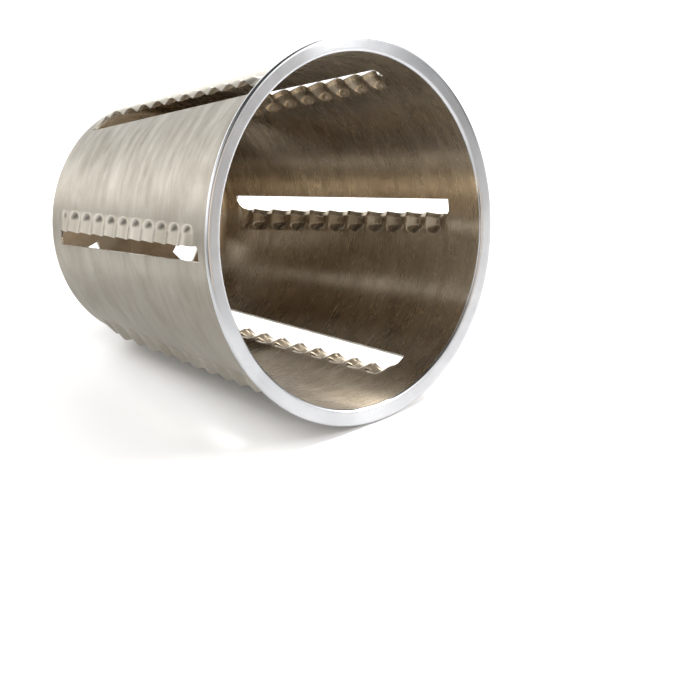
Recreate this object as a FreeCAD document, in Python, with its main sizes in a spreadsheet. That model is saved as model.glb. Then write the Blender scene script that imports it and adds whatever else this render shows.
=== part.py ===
"""Stainless cutting cone of a rotary vegetable cutter: a tapered drum with six raised corrugated cutting lips.

Every piece is drawn in the drum frame: Z runs along the axis from the mouth to the small end, Z = 0 is the
plane through the middle of the rim, and slot 1 is centred on +X. One placement then lays the finished drum on
its side, as it rests on a table: on the rim and on the rounded edge of the base. The origin of the part is the
centre of the pilot hole, on the outer face of the base. All sizes are millimetres and degrees.
"""

import FreeCAD, Part
import math
import os
import Sketcher

from FreeCAD import Placement, Rotation, Vector

os.makedirs("parts", exist_ok=True)
doc = FreeCAD.newDocument("cutting_cone")

# Driving dimensions, each an independent size of the real cone.
SIZES = {
    "mouth_dia": (101.6, "mouth, measured over the rim"),
    "rim_width": (4.5, "flat rolled rim, measured across its face"),
    "fold_inside": (0.1, "inside radius of the bend and of the fold of the rim"),
    "sheet_thick": (0.7, "stainless sheet"),
    "small_dia": (63.5, "outside of the wall where the base joins it"),
    "cone_length": (84.6, "middle plane of the rim to the base joint"),
    "base_radius": (3.5, "outside radius of the drawn edge of the base"),
    "fold_gap": (0.3, "folded edge of the rim to the outside of the wall"),
    "slot_count": (6, "windows and lips round the drum"),
    "slot_start": (9.5, "middle plane of the rim to the mouth end of a window"),
    "slot_land": (3.5, "small end of a window to the base joint"),
    "plain_offset": (2.95, "plain edge of a window to its centre plane"),
    "slot_gap": (4.1, "plain edge to the mean cutting edge"),
    "lip_width": (5.45, "mean cutting edge to the bend line"),
    "lip_lift": (0.95, "rise of the cutting edge between two pockets"),
    "wave_pitch": (6.5, "pitch of the pockets along a lip"),
    "wave_height": (1.2, "how far a pocket stands out from the ridges beside it"),
    "first_crest": (4.95, "mouth end of the window to the middle of the first pocket"),
    "edge_relief": (0.6, "how far the edge of a pocket stands back from a ridge"),
    "root_width": (2.6, "length of the round end of a pocket"),
    "end_blend": (4.6, "length over which the lip rises at each end"),
    "corner_mouth": (0.9, "corner of the cutting edge at the mouth end"),
    "corner_small": (3.0, "corner of the cutting edge at the small end"),
    "edge_thick": (0.3, "ground cutting edge"),
    "grind_width": (1.3, "width of the ground strip inside the edge"),
    "pilot_dia": (9.5, "centre hole of the base"),
    "window_count": (3, "bayonet windows for the drive lugs"),
    "window_inner": (15.8, "inner radius of a bayonet window"),
    "window_outer": (23.5, "outer radius of a bayonet window"),
    "window_angle": (28.0, "angle that a bayonet window spans"),
    "window_turn": (-17.0, "slot 1 to the end of the first bayonet window"),
    "slot_turn": (37.6, "slot 1 from the top of the lying drum, clockwise at the mouth"),
}

# The ridges between the pockets are narrow. This share of a plain wave keeps them round.
CREASE_ROUND = 0.28
# A ridge rises from the bend line to the edge as this power of the way across.
RISE_POWER = 1.4
POINTS_PER_WAVE = 12
ROWS_ACROSS_LIP = (0.0, 0.08, 0.16, 0.24, 0.32, 0.4, 0.48, 0.58, 0.7, 0.8, 0.9, 1.0)

sheet = doc.addObject("Spreadsheet::Sheet", "Sizes")
for row, (alias, (value, meaning)) in enumerate(SIZES.items(), start=1):
    sheet.set(f"A{row}", str(value))
    sheet.setAlias(f"A{row}", alias)
    sheet.set(f"B{row}", meaning)
doc.recompute()


def size(alias):
    """The value of a driving dimension, read from the sheet."""
    return float(getattr(sheet, alias))


# Expressions that more than one sketch uses.
BEND_INSIDE = "Sizes.fold_inside"
BEND_OUTSIDE = "Sizes.fold_inside + Sizes.sheet_thick"
BEND_CENTRE = f"Sizes.mouth_dia / 2 - Sizes.rim_width + {BEND_OUTSIDE}"
FOLD_CENTRE = f"Sizes.mouth_dia / 2 - ({BEND_OUTSIDE})"
WINDOW_WIDTH = "Sizes.slot_gap + Sizes.lip_width"
WINDOW_LENGTH = "Sizes.cone_length - Sizes.slot_start - Sizes.slot_land"


class Drum:
    """Sizes that follow from the driving ones: the taper, the radii and the lie of the drum."""

    # The wall bends outward into the rim, and the rim folds back on itself at its outer side.
    bend_inside = size("fold_inside")
    bend_outside = bend_inside + size("sheet_thick")
    fold_centre = size("mouth_dia") / 2 - bend_outside
    bend_centre = size("mouth_dia") / 2 - size("rim_width") + bend_outside
    small_radius = size("small_dia") / 2
    window_length = size("cone_length") - size("slot_start") - size("slot_land")
    # The outer face of the wall runs from the base joint to a tangent on the inside of the bend.
    reach = math.hypot(bend_centre - small_radius, size("cone_length"))
    taper = math.atan2(bend_centre - small_radius, size("cone_length")) - math.asin(bend_inside / reach)
    inward = Vector(-math.cos(taper), 0, -math.sin(taper))
    sheet_across = size("sheet_thick") / math.cos(taper)
    # Centre of the rounded edge of the base, which is tangent to the wall and to the flat of the base.
    edge_radius = small_radius - size("base_radius") * math.cos(taper)
    edge_height = size("cone_length") - size("base_radius") * math.sin(taper)
    base_height = edge_height + size("base_radius")
    # The line that the lying drum rests on touches the fold of the rim and the rounded edge.
    span = math.hypot(fold_centre - edge_radius, edge_height)
    drop = math.asin((bend_outside - size("base_radius")) / span)
    lean = math.atan2(fold_centre - edge_radius, edge_height) + drop
    # The folded sheet ends at the fold gap from the outer face of the wall, measured at its nearer corner.
    wall_there = small_radius + (size("cone_length") - bend_inside) * math.tan(taper)
    fold_end = wall_there + size("fold_gap") / math.cos(taper)


def wall_radius(height):
    """Outside radius of the wall at a height along the axis."""
    return Drum.small_radius + (size("cone_length") - height) * math.tan(Drum.taper)


def lying(turn=0.0):
    """Placement of a drum-frame piece, turned about the axis, in the frame of the lying part."""
    roll = Rotation(Vector(0, 0, 1), turn + size("slot_turn") - 90)
    tip = Rotation(Vector(1, 0, 0), -90 - math.degrees(Drum.lean))
    turned = tip.multiply(roll)
    return Placement(tip.multVec(Vector(0, 0, -Drum.base_height)), turned)


def origin_part(body, role):
    """An origin plane or axis of a body, found by its role."""
    return next(f for f in body.Origin.OriginFeatures if f.Role == role)


def new_sketch(body, name, plane):
    """A sketch on one of the body's own origin planes."""
    sketch = body.newObject("Sketcher::SketchObject", name)
    sketch.AttachmentSupport = [(origin_part(body, plane), "")]
    sketch.MapMode = "FlatFace"
    return sketch


def bind(sketch, kind, where, value, expression):
    """Adds a dimension to a sketch and binds it to the sheet."""
    index = sketch.addConstraint(Sketcher.Constraint(kind, *where, value))
    sketch.setExpression(f"Constraints[{index}]", expression)


def relate(sketch, *relations):
    """Adds constraints that have no size."""
    for relation in relations:
        sketch.addConstraint(Sketcher.Constraint(*relation))


def arc(centre, radius, start, end):
    """A circular arc in a sketch, anticlockwise, angles in radians."""
    return Part.ArcOfCircle(Part.Circle(centre, Vector(0, 0, 1), radius), start, end)


def line(start, end):
    """A straight edge in a sketch."""
    return Part.LineSegment(start, end)


def flat(radius, height):
    """A point of a profile sketch: radius across, height along the axis."""
    return Vector(radius, height, 0)


# Point positions of a sketch element.
START, END, CENTRE = 1, 2, 3
# The sketch origin with the horizontal axis, and the vertical axis.
AXIS_ACROSS, AXIS_UP = -1, -2


def wall_profile(body):
    """The sheet in section: the tapered wall, the bend outward, the face of the rim, the fold and its return."""
    sketch = new_sketch(body, "WallProfile", "XZ_Plane")
    bend = flat(Drum.bend_centre, 0)
    fold = flat(Drum.fold_centre, 0)
    inward = flat(Drum.inward.x, Drum.inward.z)
    inside, outside = Drum.bend_inside, Drum.bend_outside
    begin, down, up = math.pi + Drum.taper, 3 * math.pi / 2, math.pi / 2
    foot = flat(Drum.small_radius, size("cone_length"))
    foot_inside = foot + inward * size("sheet_thick")
    end = Drum.fold_end
    sketch.addGeometry(line(foot, bend + inward * inside), False)
    sketch.addGeometry(arc(bend, inside, begin, down), False)
    sketch.addGeometry(line(flat(bend.x, -inside), flat(fold.x, -inside)), False)
    sketch.addGeometry(arc(fold, inside, -up, up), False)
    sketch.addGeometry(line(flat(fold.x, inside), flat(end, inside)), False)
    sketch.addGeometry(line(flat(end, inside), flat(end, outside)), False)
    sketch.addGeometry(line(flat(end, outside), flat(fold.x, outside)), False)
    sketch.addGeometry(arc(fold, outside, -up, up), False)
    sketch.addGeometry(line(flat(fold.x, -outside), flat(bend.x, -outside)), False)
    sketch.addGeometry(arc(bend, outside, begin, down), False)
    sketch.addGeometry(line(bend + inward * outside, foot_inside), False)
    sketch.addGeometry(line(foot_inside, foot), False)
    (outer_wall, bend_in, face_in, fold_in, back_in, fold_tip,
     back_out, fold_out, face_out, bend_out, inner_wall, joint) = range(12)
    relate(
        sketch,
        ("Tangent", outer_wall, END, bend_in, START),
        ("Tangent", bend_in, END, face_in, START),
        ("Tangent", face_in, END, fold_in, START),
        ("Tangent", fold_in, END, back_in, START),
        ("Coincident", back_in, END, fold_tip, START),
        ("Coincident", fold_tip, END, back_out, START),
        ("Tangent", back_out, END, fold_out, END),
        ("Tangent", fold_out, START, face_out, START),
        ("Tangent", face_out, END, bend_out, END),
        ("Tangent", bend_out, START, inner_wall, START),
        ("Coincident", inner_wall, END, joint, START),
        ("Coincident", joint, END, outer_wall, START),
        ("Coincident", bend_in, CENTRE, bend_out, CENTRE),
        ("Coincident", fold_in, CENTRE, fold_out, CENTRE),
        ("PointOnObject", bend_in, CENTRE, AXIS_ACROSS),
        ("PointOnObject", fold_in, CENTRE, AXIS_ACROSS),
        ("Horizontal", face_in),
        ("Horizontal", back_in),
        ("Vertical", fold_tip),
        ("Perpendicular", joint, outer_wall),
    )
    bind(sketch, "DistanceX", (AXIS_ACROSS, START, bend_in, CENTRE), bend.x, BEND_CENTRE)
    bind(sketch, "DistanceX", (AXIS_ACROSS, START, fold_in, CENTRE), fold.x, FOLD_CENTRE)
    bind(sketch, "Radius", (bend_in,), inside, BEND_INSIDE)
    bind(sketch, "Radius", (bend_out,), outside, BEND_OUTSIDE)
    bind(sketch, "DistanceX", (AXIS_ACROSS, START, outer_wall, START), foot.x, "Sizes.small_dia / 2")
    bind(sketch, "DistanceY", (AXIS_ACROSS, START, outer_wall, START), foot.y, "Sizes.cone_length")
    bind(sketch, "Distance", (fold_tip, START, outer_wall), size("fold_gap"), "Sizes.fold_gap")
    return sketch


def base_profile(body):
    """The base in section: the rounded edge, tangent to the wall that is drawn beside it, and the flat."""
    sketch = new_sketch(body, "BaseProfile", "XZ_Plane")
    centre = flat(Drum.edge_radius, Drum.edge_height)
    outside = size("base_radius")
    inside = outside - size("sheet_thick")
    top = Drum.base_height
    under = top - size("sheet_thick")
    pilot = size("pilot_dia") / 2
    ray = flat(math.cos(Drum.taper), math.sin(Drum.taper))
    foot = flat(Drum.small_radius, size("cone_length"))
    bend = flat(Drum.bend_centre, 0)
    touch = bend + flat(Drum.inward.x, Drum.inward.z) * Drum.bend_inside
    sketch.addGeometry(arc(centre, outside, Drum.taper, math.pi / 2), False)
    sketch.addGeometry(line(flat(centre.x, top), flat(pilot, top)), False)
    sketch.addGeometry(line(flat(pilot, top), flat(pilot, under)), False)
    sketch.addGeometry(line(flat(pilot, under), flat(centre.x, under)), False)
    sketch.addGeometry(arc(centre, inside, Drum.taper, math.pi / 2), False)
    sketch.addGeometry(line(centre + ray * inside, centre + ray * outside), False)
    sketch.addGeometry(line(foot, touch), True)
    sketch.addGeometry(arc(bend, Drum.bend_inside, math.pi + Drum.taper, 2 * math.pi), True)
    edge_out, face, hole, floor, edge_in, joint, wall_line, wall_bend = range(8)
    relate(
        sketch,
        ("Tangent", edge_out, END, face, START),
        ("Coincident", face, END, hole, START),
        ("Coincident", hole, END, floor, START),
        ("Tangent", edge_in, END, floor, END),
        ("Coincident", edge_in, START, joint, START),
        ("Coincident", edge_out, START, joint, END),
        ("Coincident", edge_out, CENTRE, edge_in, CENTRE),
        ("Horizontal", face),
        ("Vertical", hole),
        ("Horizontal", floor),
        ("Tangent", wall_line, START, edge_out, START),
        ("Perpendicular", joint, wall_line),
        ("Tangent", wall_line, END, wall_bend, START),
        ("PointOnObject", wall_bend, CENTRE, AXIS_ACROSS),
        ("PointOnObject", wall_bend, END, AXIS_ACROSS),
    )
    bind(sketch, "DistanceX", (AXIS_ACROSS, START, wall_bend, CENTRE), bend.x, BEND_CENTRE)
    bind(sketch, "Radius", (wall_bend,), Drum.bend_inside, BEND_INSIDE)
    bind(sketch, "DistanceX", (AXIS_ACROSS, START, wall_line, START), foot.x, "Sizes.small_dia / 2")
    bind(sketch, "DistanceY", (AXIS_ACROSS, START, wall_line, START), foot.y, "Sizes.cone_length")
    bind(sketch, "Radius", (edge_out,), outside, "Sizes.base_radius")
    bind(sketch, "DistanceY", (hole, END, hole, START), top - under, "Sizes.sheet_thick")
    bind(sketch, "DistanceX", (AXIS_ACROSS, START, hole, START), pilot, "Sizes.pilot_dia / 2")
    return sketch


def window_outline(body):
    """The outline of a lip's window: from the plain edge to the bend line, and the length of the slot."""
    sketch = new_sketch(body, "WindowOutline", "YZ_Plane")
    low = flat(-size("plain_offset"), size("slot_start"))
    across = size("slot_gap") + size("lip_width")
    high = low + flat(across, Drum.window_length)
    corners = [low, flat(high.x, low.y), high, flat(low.x, high.y)]
    for corner, following in zip(corners, corners[1:] + corners[:1]):
        sketch.addGeometry(line(corner, following), False)
    mouth_end, bend, small_end, plain = range(4)
    relate(
        sketch,
        ("Coincident", mouth_end, END, bend, START),
        ("Coincident", bend, END, small_end, START),
        ("Coincident", small_end, END, plain, START),
        ("Coincident", plain, END, mouth_end, START),
        ("Horizontal", mouth_end),
        ("Vertical", bend),
        ("Horizontal", small_end),
        ("Vertical", plain),
    )
    bind(sketch, "DistanceX", (mouth_end, START, AXIS_ACROSS, START), -low.x, "Sizes.plain_offset")
    bind(sketch, "DistanceY", (AXIS_ACROSS, START, mouth_end, START), low.y, "Sizes.slot_start")
    bind(sketch, "DistanceX", (mouth_end, START, mouth_end, END), across, WINDOW_WIDTH)
    bind(sketch, "DistanceY", (bend, START, bend, END), Drum.window_length, WINDOW_LENGTH)
    return sketch


def bayonet_outline(body):
    """The outline of a bayonet window: two arcs about the axis, joined by two radial edges."""
    sketch = new_sketch(body, "BayonetOutline", "XY_Plane")
    middle = flat(0, 0)
    finish = math.radians(size("window_turn"))
    begin = finish - math.radians(size("window_angle"))
    inner, outer = size("window_inner"), size("window_outer")
    first = flat(math.cos(begin), math.sin(begin))
    last = flat(math.cos(finish), math.sin(finish))
    sketch.addGeometry(arc(middle, outer, begin, finish), False)
    sketch.addGeometry(arc(middle, inner, begin, finish), False)
    sketch.addGeometry(line(first * inner, first * outer), False)
    sketch.addGeometry(line(last * inner, last * outer), False)
    far, near, opening, closing = range(4)
    relate(
        sketch,
        ("Coincident", opening, START, near, START),
        ("Coincident", opening, END, far, START),
        ("Coincident", closing, START, near, END),
        ("Coincident", closing, END, far, END),
        ("Coincident", far, CENTRE, AXIS_ACROSS, START),
        ("Coincident", near, CENTRE, AXIS_ACROSS, START),
        ("PointOnObject", AXIS_ACROSS, START, opening),
        ("PointOnObject", AXIS_ACROSS, START, closing),
    )
    bind(sketch, "Radius", (far,), outer, "Sizes.window_outer")
    bind(sketch, "Radius", (near,), inner, "Sizes.window_inner")
    bind(sketch, "Angle", (AXIS_ACROSS, START, closing, START), finish, "Sizes.window_turn * 1 deg")
    bind(sketch, "Angle", (opening, START, closing, START), finish - begin, "Sizes.window_angle * 1 deg")
    return sketch


def revolved(body, profile, name):
    """A full turn of the profile about the drum's axis."""
    feature = body.newObject("PartDesign::Revolution", name)
    feature.Profile = profile
    feature.ReferenceAxis = (origin_part(body, "Z_Axis"), [""])
    feature.Angle = 360
    profile.Visibility = False
    doc.recompute()
    return feature


def punched(body, outline, name, count, expression):
    """Punches the outline outward through the sheet once, then round the axis as often as the sheet says."""
    before = body.Shape.Volume
    pocket = body.newObject("PartDesign::Pocket", name)
    pocket.Profile = outline
    pocket.Type = "ThroughAll"
    pocket.Reversed = True
    doc.recompute()
    if body.Shape.Volume >= before:
        raise RuntimeError(f"{name} cut nothing")
    pattern = body.newObject("PartDesign::PolarPattern", f"{name}Round")
    pattern.Originals = [pocket]
    pattern.Axis = (origin_part(body, "Z_Axis"), [""])
    pattern.Angle = 360
    pattern.Occurrences = count
    pattern.setExpression("Occurrences", expression)
    body.Tip = pattern
    doc.recompute()


def make_wall():
    """cone_wall: the tapered sheet with its rolled rim, and a window for every lip."""
    body = doc.addObject("PartDesign::Body", "ConeWall")
    body.Label = "cone_wall"
    revolved(body, wall_profile(body), "WallSheet")
    punched(body, window_outline(body), "Window", int(size("slot_count")), "Sizes.slot_count")
    body.Placement = lying()
    return body


def make_base():
    """base_cup: the drawn small end with its pilot hole and its bayonet windows."""
    body = doc.addObject("PartDesign::Body", "BaseCup")
    body.Label = "base_cup"
    revolved(body, base_profile(body), "BaseSheet")
    punched(body, bayonet_outline(body), "Bayonet", int(size("window_count")), "Sizes.window_count")
    body.Placement = lying()
    return body


def ease(share):
    """A smooth step from 0 to 1, level at both ends."""
    share = min(max(share, 0.0), 1.0)
    return share * share * (3 - 2 * share)


def pocket(height, away):
    """How far a pocket stands out, from 0 on a ridge to 1 along its middle, at a distance from the bend line.

    It is an arch, the root of a cosine squared plus a little. At the root end it is round, because there the
    cosine is taken of the distance from the middle of the pocket's nose.
    """
    turns = (height - size("slot_start") - size("first_crest")) / size("wave_pitch")
    side = 2 * (turns - round(turns))
    nose = max(0.0, 1 - away / size("root_width"))
    off = min(math.hypot(side, nose), 1.0)
    low, high = CREASE_ROUND, math.hypot(1, CREASE_ROUND)
    return (math.hypot(math.cos(math.pi / 2 * off), CREASE_ROUND) - low) / (high - low)


def end_fade(height):
    """1 along the lip, falling to 0 where the lip runs into the wall at the ends of its window."""
    near = height - size("slot_start")
    return ease(near / size("end_blend")) * ease((Drum.window_length - near) / size("end_blend"))


def edge_line(height):
    """Where the cutting edge lies across the slot: pockets stand back, and rounded corners close the ends."""
    near = height - size("slot_start")
    far = Drum.window_length - near
    across = size("slot_gap") - size("plain_offset")
    across += end_fade(height) * (pocket(height, size("lip_width")) - 0.5) * size("edge_relief")
    for corner, away in ((size("corner_mouth"), near), (size("corner_small"), far)):
        if away < corner:
            across -= corner * (1 - away / corner) ** 2
    return across


def lip_point(height, share, inner):
    """A point of the lip at a height along the axis and a share of the way from the bend line to the edge."""
    bend = size("slot_gap") - size("plain_offset") + size("lip_width")
    across = bend + share * (edge_line(height) - bend)
    rise = size("lip_lift") * share**RISE_POWER + size("wave_height") * pocket(height, share * size("lip_width"))
    radius = wall_radius(height) + end_fade(height) * rise
    if inner:
        ground = ease(1 - (1 - share) * size("lip_width") / size("grind_width"))
        radius -= Drum.sheet_across - ground * end_fade(height) * (Drum.sheet_across - size("edge_thick"))
    return Vector(math.sqrt(radius**2 - across**2), across, height)


def lip_surface(inner):
    """The outer or the inner face of a lip, as one smooth surface through the points of the formula."""
    steps = round(Drum.window_length / size("wave_pitch") * POINTS_PER_WAVE)
    heights = [size("slot_start") + Drum.window_length * i / steps for i in range(steps + 1)]
    surface = Part.BSplineSurface()
    surface.interpolate([[lip_point(height, share, inner) for share in ROWS_ACROSS_LIP] for height in heights])
    return surface


def lip_solid():
    """One lip in the drum frame: both faces and the four edges of the sheet between them."""
    outer = lip_surface(False)
    inner = lip_surface(True)
    faces = [outer.toShape(), inner.toShape()]
    for direction, parameter in (("u", 0), ("u", 1), ("v", 0), ("v", 1)):
        sides = []
        for surface in (outer, inner):
            bounds = surface.bounds()
            at = bounds[parameter] if direction == "u" else bounds[2 + parameter]
            curve = surface.uIso(at) if direction == "u" else surface.vIso(at)
            sides.append(curve.toShape())
        faces.append(Part.makeRuledSurface(sides[0], sides[1]))
    shell = Part.Shell(faces)
    shell.sewShape()
    solid = Part.Solid(Part.Shell(shell.Faces))
    if solid.Volume < 0:
        solid.reverse()
    return solid


def make_lips():
    """blade_1 and on: the corrugated lips, one in each window."""
    solid = lip_solid()
    for number in range(int(size("slot_count"))):
        blade = doc.addObject("Part::Feature", f"Blade{number + 1}")
        blade.Label = f"blade_{number + 1}"
        blade.Shape = solid
        blade.Placement = lying(360.0 * number / size("slot_count"))
        yield blade


def check(piece):
    """Stops the build if a piece, or a feature it is made of, failed."""
    for feature in [piece] + list(piece.OutListRecursive):
        if "Invalid" in feature.State or "Error" in feature.State:
            raise RuntimeError(f"{feature.Label} failed")
    if piece.Shape.isNull() or not piece.Shape.isValid():
        raise RuntimeError(f"{piece.Label} has no valid shape")


pieces = [make_wall(), make_base()] + list(make_lips())
doc.recompute()
for piece in pieces:
    check(piece)
for piece in pieces:
    piece.Shape.exportStep(f"parts/{piece.Label}.step")
    print(piece.Label, round(piece.Shape.Volume, 2), "mm3,", len(piece.Shape.Solids), "solid")
print("taper", round(math.degrees(Drum.taper), 3), "lean", round(math.degrees(Drum.lean), 3))
print("base height", round(Drum.base_height, 3), "wall radius at the rim", round(wall_radius(0), 3))
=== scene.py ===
import math

import bpy
import numpy as np
from mathutils import Matrix, Vector


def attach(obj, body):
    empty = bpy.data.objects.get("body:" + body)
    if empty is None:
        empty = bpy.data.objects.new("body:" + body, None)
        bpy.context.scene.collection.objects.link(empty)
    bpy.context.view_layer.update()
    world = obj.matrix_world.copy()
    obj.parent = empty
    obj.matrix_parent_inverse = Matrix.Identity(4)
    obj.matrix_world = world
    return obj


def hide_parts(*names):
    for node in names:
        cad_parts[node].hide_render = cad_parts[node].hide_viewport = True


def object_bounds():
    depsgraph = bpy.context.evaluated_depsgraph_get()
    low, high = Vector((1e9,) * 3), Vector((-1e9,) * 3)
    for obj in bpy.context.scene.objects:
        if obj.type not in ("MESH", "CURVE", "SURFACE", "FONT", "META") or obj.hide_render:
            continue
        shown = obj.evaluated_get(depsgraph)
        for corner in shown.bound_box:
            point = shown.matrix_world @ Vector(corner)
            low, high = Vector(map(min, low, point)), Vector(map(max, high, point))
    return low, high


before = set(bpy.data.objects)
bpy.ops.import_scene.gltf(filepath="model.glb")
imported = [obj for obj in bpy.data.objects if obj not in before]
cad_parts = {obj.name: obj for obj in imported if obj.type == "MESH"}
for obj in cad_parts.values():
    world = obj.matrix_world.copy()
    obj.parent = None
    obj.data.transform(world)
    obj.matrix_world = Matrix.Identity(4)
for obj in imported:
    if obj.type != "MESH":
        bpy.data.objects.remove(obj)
CAD_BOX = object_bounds()

# Sizes of the drum in millimetres and degrees. Heights are along its axis from the middle of the rim.
MOUTH_DIA = 101.6
RIM_WIDTH = 4.5
RIM_THICK = 1.6
SHEET = 0.7
SMALL_DIA = 63.5
CONE_LENGTH = 84.6
BASE_RADIUS = 3.5
FOLD_GAP = 0.3
SLOTS = 6
SLOT_START = 9.5
SLOT_LENGTH = 71.6
SLOT_TURN = 37.6
PLAIN_EDGE = -2.95
CUTTING_EDGE = 1.15
BEND_LINE = 6.6
LIP_LIFT = 0.95
WAVE_PITCH = 6.5
WAVE_HEIGHT = 1.2
FIRST_CREST = 4.95
EDGE_RELIEF = 0.6
ROOT_WIDTH = 2.6
END_BLEND = 4.6
CORNER_MOUTH = 0.9
CORNER_SMALL = 3.0
EDGE_THICK = 0.3
GRIND_WIDTH = 1.3
CREASE_ROUND = 0.28
RISE_POWER = 1.4
PILOT_DIA = 9.5
WINDOWS = 3
WINDOW_INNER = 15.8
WINDOW_OUTER = 23.5
WINDOW_ANGLE = 28.0
WINDOW_TURN = -17.0

# What follows from them: the taper of the wall, the rounded edge of the base and the lean of the lying drum.
BEND_OUTSIDE = RIM_THICK / 2
BEND_INSIDE = BEND_OUTSIDE - SHEET
FOLD_CENTRE = MOUTH_DIA / 2 - BEND_OUTSIDE
BEND_CENTRE = MOUTH_DIA / 2 - RIM_WIDTH + BEND_OUTSIDE
SMALL_RADIUS = SMALL_DIA / 2
REACH = math.hypot(BEND_CENTRE - SMALL_RADIUS, CONE_LENGTH)
TAPER = math.atan2(BEND_CENTRE - SMALL_RADIUS, CONE_LENGTH) - math.asin(BEND_INSIDE / REACH)
SHEET_ACROSS = SHEET / math.cos(TAPER)
EDGE_CENTRE = SMALL_RADIUS - BASE_RADIUS * math.cos(TAPER)
EDGE_HEIGHT = CONE_LENGTH - BASE_RADIUS * math.sin(TAPER)
BASE_HEIGHT = EDGE_HEIGHT + BASE_RADIUS
SPAN = math.hypot(FOLD_CENTRE - EDGE_CENTRE, EDGE_HEIGHT)
LEAN = math.atan2(FOLD_CENTRE - EDGE_CENTRE, EDGE_HEIGHT) + math.asin((BEND_OUTSIDE - BASE_RADIUS) / SPAN)
AXIS = np.array([0.0, math.cos(LEAN), -math.sin(LEAN)])
TOP = np.array([0.0, math.sin(LEAN), math.cos(LEAN)])
SIDE = np.array([1.0, 0.0, 0.0])
SECTOR = 360.0 / SLOTS

# The four finishes of the sheet, in the order of each piece's material slots.
OUTSIDE, RIM, INSIDE, CUT_EDGE = range(4)
# An edge between two faces that meet at more than this many degrees is drawn sharp.
SHARP_ANGLE = 32


def place(clock, height, radius):
    """Points in the row frame, in metres: a clock angle in degrees from the top, clockwise at the mouth, a
    height along the axis and a radius from it."""
    turn = np.radians(clock)[..., None]
    around = TOP * np.cos(turn) + SIDE * np.sin(turn)
    return (AXIS * (height - BASE_HEIGHT)[..., None] + around * np.asarray(radius)[..., None]) / 1000


def ease(share):
    """A smooth step from 0 to 1: 3 t squared less 2 t cubed, level at both ends."""
    share = np.clip(share, 0, 1)
    return share * share * (3 - 2 * share)


def wall_radius(height):
    """Outside radius of the tapered wall."""
    return SMALL_RADIUS + (CONE_LENGTH - height) * math.tan(TAPER)


def solid(name, points, faces, uvs, finishes, finish_of):
    """A mesh object from points, faces with the places of their corners on the sheet, and a finish for each
    face."""
    mesh = bpy.data.meshes.new(name)
    mesh.from_pydata(points.reshape(-1, 3).tolist(), [], faces.tolist())
    layer = mesh.uv_layers.new(name="sheet")
    layer.data.foreach_set("uv", uvs.astype(np.float32).ravel())
    for finish in finishes:
        mesh.materials.append(finish)
    mesh.polygons.foreach_set("material_index", finish_of.astype(np.int32))
    mesh.shade_smooth()
    mesh.set_sharp_from_angle(angle=math.radians(SHARP_ANGLE))
    piece = bpy.data.objects.new(name, mesh)
    bpy.context.scene.collection.objects.link(piece)
    return piece


def loop(*runs):
    """Joins runs of a profile, each a pair of height and radius arrays, into one closed loop."""
    return np.concatenate([run[0] for run in runs]), np.concatenate([run[1] for run in runs])


def straight(start, end, steps, last=True):
    """Points evenly spaced on a straight run of a profile, from one height and radius to another."""
    share = np.linspace(0, 1, steps + 1)[:None if last else -1]
    return start[0] + (end[0] - start[0]) * share, start[1] + (end[1] - start[1]) * share


def bend(centre, radius, begin, end, steps, last=True):
    """Points on an arc of a profile: centre plus radius times the sine in height and the cosine in radius."""
    angle = np.linspace(begin, end, steps + 1)[:None if last else -1]
    return centre[0] + radius * np.sin(angle), centre[1] + radius * np.cos(angle)


def sheet_grid(name, profile, clocks, punched, finishes, finish_of_row):
    """A turned sheet with windows in it. The profile is a closed loop of heights and radii, and clocks holds
    a clock angle for each of its points in each column, so point (row, column) is the profile's point turned
    by that clock. punched gives the first outer row and the first inner row of the windows, the number of
    rows that they span, and the first and last column of each. Those cells are left out, and the cut edges
    are closed through the sheet."""
    heights, radii = profile
    rows, wide = clocks.shape
    points = place(clocks, np.repeat(heights[:, None], wide, 1), np.repeat(radii[:, None], wide, 1))
    closed = np.concatenate([clocks, clocks[:, :1] + 360.0], 1)
    closed = np.concatenate([closed, closed[:1]], 0)
    steps = np.hypot(np.diff(np.append(heights, heights[0])), np.diff(np.append(radii, radii[0])))
    along = np.concatenate([[0.0], np.cumsum(steps)])
    on_sheet = np.stack([np.repeat(along[:, None], wide + 1, 1), np.radians(closed) * radii.mean()], -1)
    outer_row, inner_row, span, windows = punched
    kept = np.ones((rows, wide), bool)
    for first, last in windows:
        kept[outer_row:outer_row + span, first:last] = False
        kept[inner_row:inner_row + span, first:last] = False
    row, column = np.nonzero(kept)
    after, below = (column + 1) % wide, (row + 1) % rows
    faces = [np.stack([row * wide + column, row * wide + after,
                       below * wide + after, below * wide + column], -1)]
    uvs = [np.stack([on_sheet[row, column], on_sheet[row, column + 1],
                     on_sheet[row + 1, column + 1], on_sheet[row + 1, column]], 1)]
    finish = [finish_of_row[row]]
    outer = outer_row + np.arange(span + 1)
    inner = inner_row + span - np.arange(span + 1)
    for first, last in windows:
        side = np.stack([outer[:-1], inner[:-1], inner[1:], outer[1:]], -1) * wide
        across = np.arange(first, last)
        end = np.stack([across, across, across + 1, across + 1], -1)
        mouth_end = end + np.array([outer[0], inner[0], inner[0], outer[0]]) * wide
        small_end = end + np.array([outer[-1], inner[-1], inner[-1], outer[-1]]) * wide
        for cut in (side + first, (side + last)[:, ::-1], mouth_end[:, ::-1], small_end):
            faces.append(cut)
            uvs.append(on_sheet[cut // wide, cut % wide])
            finish.append(np.full(len(cut), CUT_EDGE))
    return solid(name, points, np.concatenate(faces), np.concatenate(uvs), finishes, np.concatenate(finish))


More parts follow.
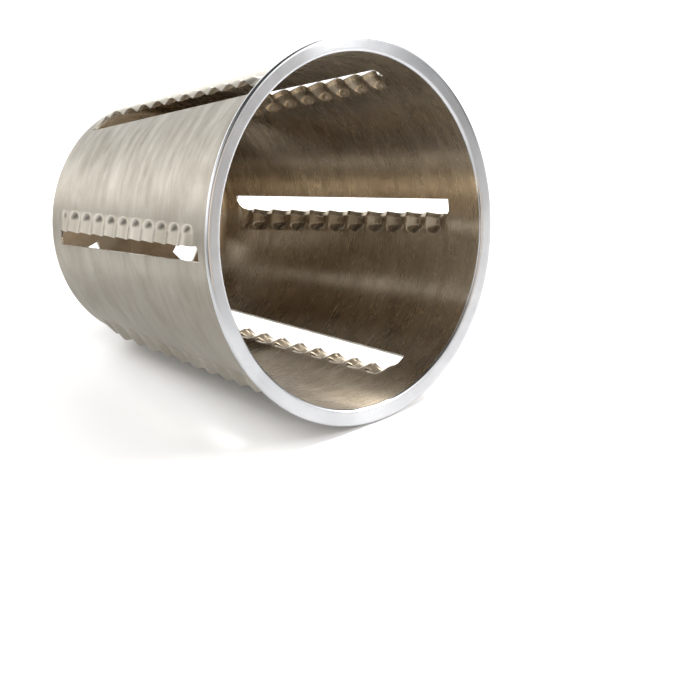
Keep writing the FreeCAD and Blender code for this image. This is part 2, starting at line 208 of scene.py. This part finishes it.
def wall_clocks(radii, window_cells, panel_cells):
    """Clock angles of the wall's columns at each radius. In a window the columns keep their distance from its
    middle plane, so clock is the arcsine of distance over radius; between two windows they are evenly
    spread."""
    across = np.linspace(PLAIN_EDGE, BEND_LINE, window_cells + 1)[:-1]
    inside = np.degrees(np.arcsin(across / radii[:, None]))
    start = np.degrees(np.arcsin(BEND_LINE / radii))[:, None]
    end = SECTOR + np.degrees(np.arcsin(PLAIN_EDGE / radii))[:, None]
    between = start + (end - start) * np.linspace(0, 1, panel_cells + 1)[:-1]
    sector = np.concatenate([inside, between], 1)
    return SLOT_TURN + np.concatenate([sector + SECTOR * number for number in range(SLOTS)], 1)


def on_wall(height, depth):
    """Height and radius of a point a given depth under the wall's outer face, as a point of a profile."""
    return height, wall_radius(height) - depth


def make_wall(finishes):
    """drum_wall: the tapered wall and its folded rim, one sheet turned about the axis, with six long windows.
    The profile runs down the inner face, round the bend and out over the face of the rim, round the fold and
    back to its tip, then by the inside of the fold and the bend to the outer face, and up that."""
    window_rows, bend_rows, face_rows, fold_rows, land_rows = 60, 10, 4, 20, 4
    window_cells, panel_cells = 10, 44
    inner_foot = (CONE_LENGTH - SHEET * math.sin(TAPER), SMALL_RADIUS - SHEET * math.cos(TAPER))
    outer_foot = (CONE_LENGTH, SMALL_RADIUS)
    near, far = SLOT_START, SLOT_START + SLOT_LENGTH
    begin, down, up = math.pi + TAPER, 1.5 * math.pi, 2.5 * math.pi
    bend_at, fold_at = (0.0, BEND_CENTRE), (0.0, FOLD_CENTRE)
    tip = wall_radius(BEND_INSIDE) + FOLD_GAP / math.cos(TAPER)
    inner_start = (BEND_OUTSIDE * math.sin(begin), BEND_CENTRE + BEND_OUTSIDE * math.cos(begin))
    outer_start = (BEND_INSIDE * math.sin(begin), BEND_CENTRE + BEND_INSIDE * math.cos(begin))
    runs = [
        straight(inner_foot, on_wall(far, SHEET_ACROSS), 1, False),
        straight(on_wall(far, SHEET_ACROSS), on_wall(near, SHEET_ACROSS), window_rows, False),
        straight(on_wall(near, SHEET_ACROSS), inner_start, land_rows, False),
        bend(bend_at, BEND_OUTSIDE, begin, down, bend_rows, False),
        straight((-BEND_OUTSIDE, BEND_CENTRE), (-BEND_OUTSIDE, FOLD_CENTRE), face_rows, False),
        bend(fold_at, BEND_OUTSIDE, down, up, fold_rows, False),
        straight((BEND_OUTSIDE, FOLD_CENTRE), (BEND_OUTSIDE, tip), face_rows),
        straight((BEND_INSIDE, tip), (BEND_INSIDE, FOLD_CENTRE), face_rows, False),
        bend(fold_at, BEND_INSIDE, up, down, fold_rows, False),
        straight((-BEND_INSIDE, FOLD_CENTRE), (-BEND_INSIDE, BEND_CENTRE), face_rows, False),
        bend(bend_at, BEND_INSIDE, down, begin, bend_rows, False),
        straight(outer_start, on_wall(near, 0), land_rows, False),
        straight(on_wall(near, 0), on_wall(far, 0), window_rows, False),
        straight(on_wall(far, 0), outer_foot, 1),
    ]
    inner_windows, rim_begins, tip_closes, wall_begins, outer_windows = 1, 3, 7, 11, 12
    profile = loop(*runs)
    starts = np.concatenate([[0], np.cumsum([len(run[0]) for run in runs])])
    finish_of_row = np.full(len(profile[0]), INSIDE)
    finish_of_row[starts[rim_begins]:starts[wall_begins]] = RIM
    finish_of_row[starts[tip_closes] - 1] = CUT_EDGE
    finish_of_row[starts[wall_begins]:] = OUTSIDE
    clocks = wall_clocks(profile[1], window_cells, panel_cells)
    sector_cells = window_cells + panel_cells
    windows = [(sector_cells * number, sector_cells * number + window_cells) for number in range(SLOTS)]
    punched = (starts[outer_windows], starts[inner_windows], window_rows, windows)
    return sheet_grid("drum_wall", profile, clocks, punched, finishes, finish_of_row)


def make_base(finishes):
    """drum_base: the drawn small end, one sheet turned about the axis. The profile runs round the outside of
    the rounded edge, in over the face, through the pilot hole, out again under it and back round the
    inside."""
    edge_rows, ring_rows, window_rows = 12, 3, 6
    window_cells, panel_cells = 16, 46
    face, under = BASE_HEIGHT, BASE_HEIGHT - SHEET
    centre = (EDGE_HEIGHT, EDGE_CENTRE)
    pilot = PILOT_DIA / 2
    runs = [
        bend(centre, BASE_RADIUS, TAPER, math.pi / 2, edge_rows, False),
        straight((face, EDGE_CENTRE), (face, WINDOW_OUTER), ring_rows, False),
        straight((face, WINDOW_OUTER), (face, WINDOW_INNER), window_rows, False),
        straight((face, WINDOW_INNER), (face, pilot), ring_rows),
        straight((under, pilot), (under, WINDOW_INNER), ring_rows, False),
        straight((under, WINDOW_INNER), (under, WINDOW_OUTER), window_rows, False),
        straight((under, WINDOW_OUTER), (under, EDGE_CENTRE), ring_rows, False),
        bend(centre, BASE_RADIUS - SHEET, math.pi / 2, TAPER, edge_rows),
    ]
    outer_windows, under_begins, inner_windows = 2, 4, 5
    profile = loop(*runs)
    starts = np.concatenate([[0], np.cumsum([len(run[0]) for run in runs])])
    finish_of_row = np.full(len(profile[0]), OUTSIDE)
    finish_of_row[starts[under_begins] - 1] = CUT_EDGE
    finish_of_row[starts[under_begins]:] = INSIDE
    pitch = 360.0 / WINDOWS
    start = WINDOW_TURN - WINDOW_ANGLE
    window = start + WINDOW_ANGLE * np.linspace(0, 1, window_cells + 1)[:-1]
    panel = WINDOW_TURN + (pitch - WINDOW_ANGLE) * np.linspace(0, 1, panel_cells + 1)[:-1]
    sector = np.concatenate([window, panel])
    clocks = SLOT_TURN + np.concatenate([sector + pitch * number for number in range(WINDOWS)])
    clocks = np.tile(clocks, (len(profile[0]), 1))
    windows = [(len(sector) * number, len(sector) * number + window_cells) for number in range(WINDOWS)]
    punched = (starts[outer_windows], starts[inner_windows], window_rows, windows)
    return sheet_grid("drum_base", profile, clocks, punched, finishes, finish_of_row)


def pocket(height, away):
    """The pockets pressed outward along a lip, 0 on the ridges between them and 1 along their middles. Each
    is an arch, the root of a cosine squared plus a little, and its root end is round: there the cosine is
    taken of the distance from the middle of the pocket's nose. away is the distance from the bend line."""
    turns = (height - SLOT_START - FIRST_CREST) / WAVE_PITCH
    side = 2 * (turns - np.round(turns))
    nose = np.clip(1 - away / ROOT_WIDTH, 0, 1)
    off = np.minimum(np.hypot(side, nose), 1)
    low, high = CREASE_ROUND, math.hypot(1, CREASE_ROUND)
    return (np.hypot(np.cos(math.pi / 2 * off), CREASE_ROUND) - low) / (high - low)


def end_fade(height):
    """1 along a lip, easing to 0 at both ends, where it runs into the wall."""
    near = height - SLOT_START
    return ease(near / END_BLEND) * ease((SLOT_LENGTH - near) / END_BLEND)


def edge_line(height):
    """Where the cutting edge lies across the window: it stands back by the relief in the middle of a pocket,
    and a parabola rounds off the corner at each end."""
    near = height - SLOT_START
    relief = (pocket(height, BEND_LINE - CUTTING_EDGE) - 0.5) * EDGE_RELIEF
    across = CUTTING_EDGE + end_fade(height) * relief
    for corner, away in ((CORNER_MOUTH, near), (CORNER_SMALL, SLOT_LENGTH - near)):
        across = across - corner * np.clip(1 - away / corner, 0, 1) ** 2
    return across


def make_lip(number, finishes):
    """lip_1 to lip_6: a strip of the wall raised along the clockwise side of its window, with pockets pressed
    outward. At a share of the way from the bend line to the edge the ridges rise by the lift times that share
    to the power RISE_POWER, and the pockets by the wave height more. The inner face is ground to a thin
    edge."""
    rows, columns = 288, 26
    height = np.linspace(SLOT_START, SLOT_START + SLOT_LENGTH, rows + 1)[:, None]
    share = np.linspace(0, 1, columns + 1)[None, :]
    width = BEND_LINE - CUTTING_EDGE
    across = BEND_LINE + share * (edge_line(height) - BEND_LINE)
    rise = LIP_LIFT * share**RISE_POWER + WAVE_HEIGHT * pocket(height, share * width)
    outer = wall_radius(height) + end_fade(height) * rise
    ground = ease(1 - (1 - share) * width / GRIND_WIDTH)
    inner = outer - SHEET_ACROSS + ground * end_fade(height) * (SHEET_ACROSS - EDGE_THICK)
    across = np.concatenate([across, across[:, ::-1]], 1)
    radius = np.concatenate([outer, inner[:, ::-1]], 1)
    height = np.repeat(height, across.shape[1], 1)
    clock = SLOT_TURN + SECTOR * (number - 1) + np.degrees(np.arcsin(across / radius))
    points = place(clock, height, radius)
    on_sheet = np.stack([height, across + (radius < outer.min())], -1)
    wide = across.shape[1]
    row, column = [index.ravel() for index in np.meshgrid(np.arange(rows), np.arange(wide), indexing="ij")]
    after = (column + 1) % wide
    faces = [np.stack([row * wide + column, (row + 1) * wide + column,
                       (row + 1) * wide + after, row * wide + after], -1)]
    finish_of_column = np.full(wide, OUTSIDE)
    finish_of_column[columns] = CUT_EDGE
    finish_of_column[columns + 1:] = INSIDE
    finish = [finish_of_column[column]]
    cap = np.arange(columns)
    cap = np.stack([cap, cap + 1, wide - 2 - cap, wide - 1 - cap], -1)
    faces += [cap, cap[:, ::-1] + rows * wide]
    finish += [np.full(columns, CUT_EDGE)] * 2
    faces = np.concatenate(faces)
    uvs = on_sheet.reshape(-1, 2)[faces]
    return solid(f"lip_{number}", points, faces, uvs, finishes, np.concatenate(finish))


def node(tree, kind, settings=None, **links):
    """Adds a node, sets its own properties, and fills its inputs: a socket is linked, a plain value is set.
    An input is named by its label in small letters with _ for a space, or by its number as in_0."""
    made = tree.nodes.new(kind)
    for key, value in (settings or {}).items():
        setattr(made, key, value)
    for key, value in links.items():
        if key.startswith("in_"):
            socket = made.inputs[int(key[3:])]
        else:
            socket = next(s for s in made.inputs if s.name.lower().replace(" ", "_") == key)
        if isinstance(value, bpy.types.NodeSocket):
            tree.links.new(value, socket)
        else:
            socket.default_value = value
    return made


def linear(code):
    """A colour for a node from its sRGB hex code: each channel to the power 2.4 after its offset, or divided
    by 12.92 where it is dark."""
    channels = [int(code[i:i + 2], 16) / 255 for i in (1, 3, 5)]
    return [c / 12.92 if c <= 0.04045 else ((c + 0.055) / 1.055) ** 2.4 for c in channels] + [1.0]


def in_drum(tree, around, along):
    """Coordinates in the drum's own frame, with its axis along Z, counted in pattern sizes: around is the
    size across and round the drum, and along the size along its axis, in millimetres. A pattern that is long
    one way and short the other makes streaks that run round the drum and meet without a seam."""
    where = node(tree, "ShaderNodeTexCoord")
    turned = node(tree, "ShaderNodeMapping", {"vector_type": "TEXTURE"}, vector=where.outputs["Object"],
                  rotation=(-math.pi / 2 - LEAN, 0, 0), scale=(around / 1000, around / 1000, along / 1000))
    return turned.outputs[0]


# Sizes of the patterns on the steel in millimetres, round the drum and along its axis. The grit's lines are
# about 0.05 mm wide. They are drawn 0.45 mm wide, as coarse as they need to be to show.
LINE_SIZE = (24, 0.45)
STREAK_SIZE = (15, 2.8)
CLOUD_SIZE = (16, 8)
# How deep the lines are in metres, and how far off, in metres, a face still darkens a hollow with painted
# shade.
LINE_DEPTH = 0.00003
PAINTED_SHADE_REACH = 0.004


def brushed_steel(name, pale, dull, rough, lines, clouds, streaks):
    """Stainless sheet, cold rolled and brushed round the drum. pale and dull are the colours between which
    its film of handling and dried water drifts, and rough the lowest and highest roughness. lines, clouds
    and streaks are how strongly the grit's lines, the clouds and the streaks show."""
    material = bpy.data.materials.new(name)
    material.use_nodes = True
    tree = material.node_tree
    tree.nodes.clear()
    line = node(tree, "ShaderNodeTexNoise", vector=in_drum(tree, *LINE_SIZE), scale=1.0, detail=3.0,
                roughness=0.6)
    # Streaks of drag left by the belt, which the eye sees as pale and dull bands round the drum.
    streak = node(tree, "ShaderNodeTexNoise", vector=in_drum(tree, *STREAK_SIZE), scale=1.0, detail=4.0,
                  roughness=0.6)
    # Cloudy film, in patches that are drawn out round the drum.
    cloud = node(tree, "ShaderNodeTexNoise", vector=in_drum(tree, *CLOUD_SIZE), scale=1.0, detail=5.0,
                 roughness=0.6, distortion=0.6)
    patch = node(tree, "ShaderNodeMapRange", {"interpolation_type": "SMOOTHSTEP"}, value=cloud.outputs[0],
                 from_min=0.36, from_max=0.66)
    streaky = node(tree, "ShaderNodeMapRange", value=streak.outputs[0], from_min=0.3, from_max=0.7)
    film = node(tree, "ShaderNodeMath", {"operation": "MULTIPLY_ADD"}, in_0=line.outputs[0], in_1=0.5,
                in_2=-0.25)
    film = node(tree, "ShaderNodeMath", {"operation": "MULTIPLY_ADD"}, in_0=streaky.outputs[0], in_1=streaks,
                in_2=film.outputs[0])
    share = node(tree, "ShaderNodeMath", {"operation": "MULTIPLY_ADD", "use_clamp": True},
                 in_0=patch.outputs[0], in_1=clouds, in_2=film.outputs[0])
    colour = node(tree, "ShaderNodeMix", {"data_type": "RGBA"}, in_0=share.outputs[0], in_6=linear(pale),
                  in_7=linear(dull))
    # Painted shade: ambient occlusion darkens the colour in the bottoms of the lips' pockets and in the
    # crease behind the rim,
    crease_occlusion = node(tree, "ShaderNodeAmbientOcclusion", {"samples": 8, "only_local": True},
                  distance=PAINTED_SHADE_REACH)
    painted_shade = node(tree, "ShaderNodeMapRange", value=crease_occlusion.outputs["AO"], from_min=0.35, from_max=0.8,
                 to_min=0.4, to_max=1.0)
    # The colour is multiplied by the painted shade.
    colour = node(tree, "ShaderNodeMix", {"data_type": "RGBA", "blend_type": "MULTIPLY"}, in_0=1.0,
                  in_6=colour.outputs["Result"], in_7=painted_shade.outputs[0])
    # The roughness drifts with the lines and the streaks, so a reflection's edge is frayed.
    grain = node(tree, "ShaderNodeMath", {"operation": "MULTIPLY_ADD"}, in_0=line.outputs[0], in_1=0.5,
                 in_2=0.25)
    worn = node(tree, "ShaderNodeMath", {"operation": "MULTIPLY_ADD"}, in_0=streaky.outputs[0], in_1=0.5,
                in_2=grain.outputs[0])
    roughness = node(tree, "ShaderNodeMapRange", value=worn.outputs[0], from_min=0.2, from_max=1.1,
                     to_min=rough[0], to_max=rough[1])
    relief = node(tree, "ShaderNodeBump", height=line.outputs[0], strength=lines, distance=LINE_DEPTH)
    # Lines that run round the drum spread a reflection along its axis, and leave it narrow round the drum.
    tangent = node(tree, "ShaderNodeTangent", {"direction_type": "UV_MAP", "uv_map": "sheet"})
    steel = node(tree, "ShaderNodeBsdfPrincipled", base_color=colour.outputs["Result"], metallic=1.0,
                 roughness=roughness.outputs[0], anisotropic=0.97, normal=relief.outputs[0],
                 tangent=tangent.outputs[0])
    node(tree, "ShaderNodeOutputMaterial", surface=steel.outputs[0])
    return material


FINISHES = [
    brushed_steel("brushed_outside", pale="#A09B91", dull="#8A8478", rough=(0.24, 0.36), lines=0.4,
                  clouds=0.55, streaks=0.35),
    brushed_steel("rolled_rim", pale="#BEBFC1", dull="#A6A7AA", rough=(0.12, 0.22), lines=0.2,
                  clouds=0.4, streaks=0.4),
    brushed_steel("brushed_inside", pale="#AC9F8C", dull="#867A68", rough=(0.2, 0.32), lines=0.4,
                  clouds=0.5, streaks=0.4),
    brushed_steel("sheared_edge", pale="#C6C2BA", dull="#A8A296", rough=(0.2, 0.34), lines=0.2,
                  clouds=0.3, streaks=0.3),
]

wall = make_wall(FINISHES)
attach(wall, "root")
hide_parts("cone_wall")
base = make_base(FINISHES)
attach(base, "root")
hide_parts("base_cup")
for number in range(1, SLOTS + 1):
    lip = make_lip(number, FINISHES)
    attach(lip, "root")
    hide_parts(f"blade_{number}")

# The table that the drum lies on: a square whose half side is in metres, at the height of the drum's foot.
scene = bpy.context.scene
HALF_TABLE = 3
FLOOR = CAD_BOX[0][2]
corners = [(-HALF_TABLE, -HALF_TABLE, FLOOR), (HALF_TABLE, -HALF_TABLE, FLOOR),
           (HALF_TABLE, HALF_TABLE, FLOOR), (-HALF_TABLE, HALF_TABLE, FLOOR)]
floor_mesh = bpy.data.meshes.new("floor")
floor_mesh.from_pydata(corners, [], [(0, 1, 2, 3)])
floor = bpy.data.objects.new("floor", floor_mesh)
scene.collection.objects.link(floor)
white = bpy.data.materials.new("white_table")
white.use_nodes = True
tree = white.node_tree
tree.nodes.clear()
paint = node(tree, "ShaderNodeBsdfPrincipled", base_color=linear("#F2F2F2"), roughness=0.6)
node(tree, "ShaderNodeOutputMaterial", surface=paint.outputs[0])
floor_mesh.materials.append(white)


def softbox(name, position, aim, width, height, power):
    """A soft area light at a place, turned to face a point, in metres and watts."""
    light = bpy.data.lights.new(name, "AREA")
    light.shape = "RECTANGLE"
    light.size, light.size_y = width, height
    light.energy = power
    lamp = bpy.data.objects.new(name, light)
    direction = Vector(aim) - Vector(position)
    turn = direction.to_track_quat("-Z", "Y").to_matrix().to_4x4()
    lamp.matrix_world = Matrix.Translation(position) @ turn
    scene.collection.objects.link(lamp)
    lamp.visible_camera = False
    return lamp


# The key light and a lower one for the rim stand to the right of the mouth. The third is over the table at
# the left, and the steel doesn't mirror it.
MIDDLE_OF_MOUTH = (0.0, -0.085, 0.02)
LEFT_OF_DRUM = (-0.09, -0.05, -0.03)
softbox("key", (0.446, -0.1, 0.418), MIDDLE_OF_MOUTH, width=0.16, height=0.16, power=4.0)
softbox("rim_light", (0.426, -0.443, 0.245), MIDDLE_OF_MOUTH, width=0.14, height=0.14, power=1.3)
table_light = softbox("table_light", (-0.25, -0.05, 0.25), LEFT_OF_DRUM, width=0.1, height=0.2, power=0.07)
table_light.data.spread = math.radians(50)
table_light.visible_glossy = False

# The soft light all round: for each wide panel the compass angle from +X and the height in degrees that its
# middle lies at, its brightness and its colour. A panel fades to nothing at SPREAD degrees from its middle.
SPREAD = 30.0
DAY, WARM = "#FFFFFF", "#FFECD8"
PANELS = [
    (24, 8, 2.4, DAY), (48, 8, 2.2, DAY), (72, 8, 1.1, DAY), (96, 8, 2.5, DAY), (120, 8, 1.1, DAY),
    (144, 8, 1.4, DAY), (192, 8, 0.8, DAY), (264, 8, 1.4, WARM), (288, 8, 0.5, WARM), (312, 8, 0.3, DAY),
    (12, 30, 0.4, DAY), (36, 30, 0.9, DAY), (60, 30, 0.6, DAY), (156, 30, 1.3, DAY), (180, 30, 0.7, DAY),
    (204, 30, 0.5, DAY), (228, 30, 0.2, DAY), (252, 30, 0.4, WARM), (300, 30, 0.8, DAY),
    (324, 30, 2.4, DAY), (348, 30, 1.2, DAY), (72, 52, 0.2, DAY), (180, 52, 0.6, DAY), (162, 73, 0.2, DAY),
]

world = bpy.data.worlds.new("studio")
scene.world = world
world.use_nodes = True
sky = world.node_tree
sky.nodes.clear()
looking = node(sky, "ShaderNodeTexCoord")
total = (0.0, 0.0, 0.0)
for compass, tilt, strength, colour in PANELS:
    compass, tilt = math.radians(compass), math.radians(tilt)
    middle = (math.cos(tilt) * math.cos(compass), math.cos(tilt) * math.sin(compass), math.sin(tilt))
    facing = node(sky, "ShaderNodeVectorMath", {"operation": "DOT_PRODUCT"},
                  in_0=looking.outputs["Generated"], in_1=middle)
    panel = node(sky, "ShaderNodeMapRange", {"interpolation_type": "SMOOTHSTEP"},
                 value=facing.outputs["Value"], from_min=math.cos(math.radians(SPREAD)), from_max=1.0,
                 to_max=strength)
    total = node(sky, "ShaderNodeVectorMath", {"operation": "MULTIPLY_ADD"}, in_0=panel.outputs[0],
                 in_1=linear(colour)[:3], in_2=total).outputs[0]
glow = node(sky, "ShaderNodeBackground", color=total, strength=1.0)
# The camera sees plain white behind the table, and everything else the panels.
plain = node(sky, "ShaderNodeBackground", color=linear(DAY), strength=1.0)
ray = node(sky, "ShaderNodeLightPath")
seen = node(sky, "ShaderNodeMixShader", in_0=ray.outputs["Is Camera Ray"], in_1=glow.outputs[0],
            in_2=plain.outputs[0])
node(sky, "ShaderNodeOutputWorld", surface=seen.outputs[0])
scene.view_settings.view_transform = "Standard"

# The camera stands where the photograph's did: off to the left of the mouth, looking down at 23 degrees. Its
# place is given from the middle of the mouth in millimetres, to its right, upward and forward.
RIGHT = Vector((0.7096, -0.7046, 0.0))
FORWARD = Vector((0.6492, 0.6538, -0.3886)).normalized()
UP = RIGHT.cross(FORWARD).normalized()
MOUTH = Vector(-BASE_HEIGHT * AXIS)
TO_RIGHT, UPWARD, TO_FRONT = -0.927, -30.79, -854.6
LENS, SENSOR = 169.7, 36.0
eye = (MOUTH + TO_RIGHT * RIGHT + UPWARD * UP + TO_FRONT * FORWARD) / 1000
camera = bpy.data.objects.new("camera", bpy.data.cameras.new("camera"))
camera.data.lens = LENS
camera.data.sensor_width = SENSOR
camera.matrix_world = Matrix.Translation(eye) @ Matrix((RIGHT, UP, -FORWARD)).transposed().to_4x4()
scene.collection.objects.link(camera)
scene.camera = camera
